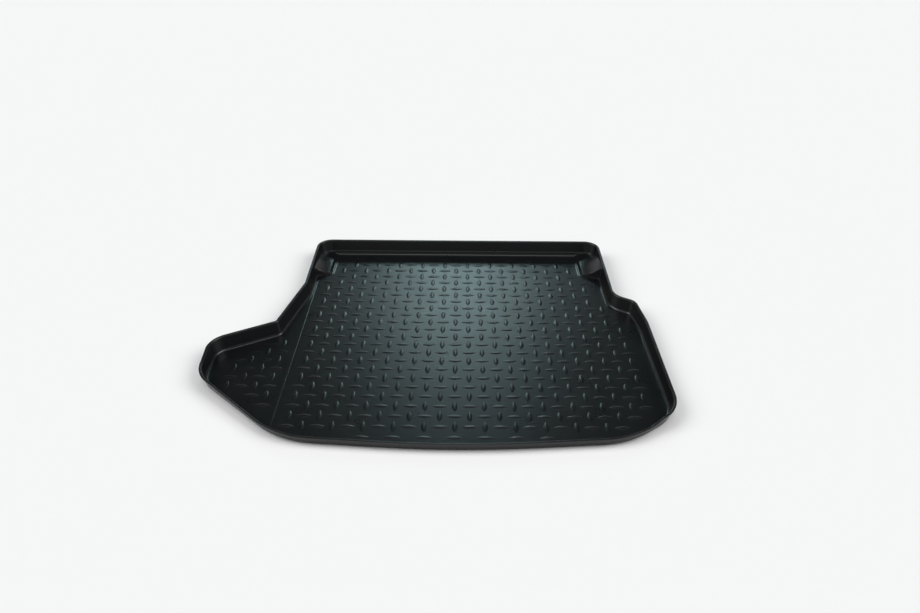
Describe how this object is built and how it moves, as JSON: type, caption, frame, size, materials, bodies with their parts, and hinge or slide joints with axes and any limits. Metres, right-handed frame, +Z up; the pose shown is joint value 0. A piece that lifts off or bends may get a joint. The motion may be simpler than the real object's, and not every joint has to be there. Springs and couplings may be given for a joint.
{
  "type": "car boot liner",
  "caption": "Moulded car boot tray with a raised bar tread, leaning lipped walls, a side wing and sloped ramps in both back corners.",
  "frame": {"origin": "underside of the floor, on the middle column of the tread, about mid-depth", "axes": "+X to the right seen from the bumper, +Y forward to the seat back, +Z up"},
  "size_m": [1.3864, 1.0809, 0.057],
  "materials": {
    "moulded_plastic": "satin charcoal, fine grain"
  },
  "bodies": {
    "root": {"boot_liner": "moulded_plastic"}
  },
  "joints": []
}
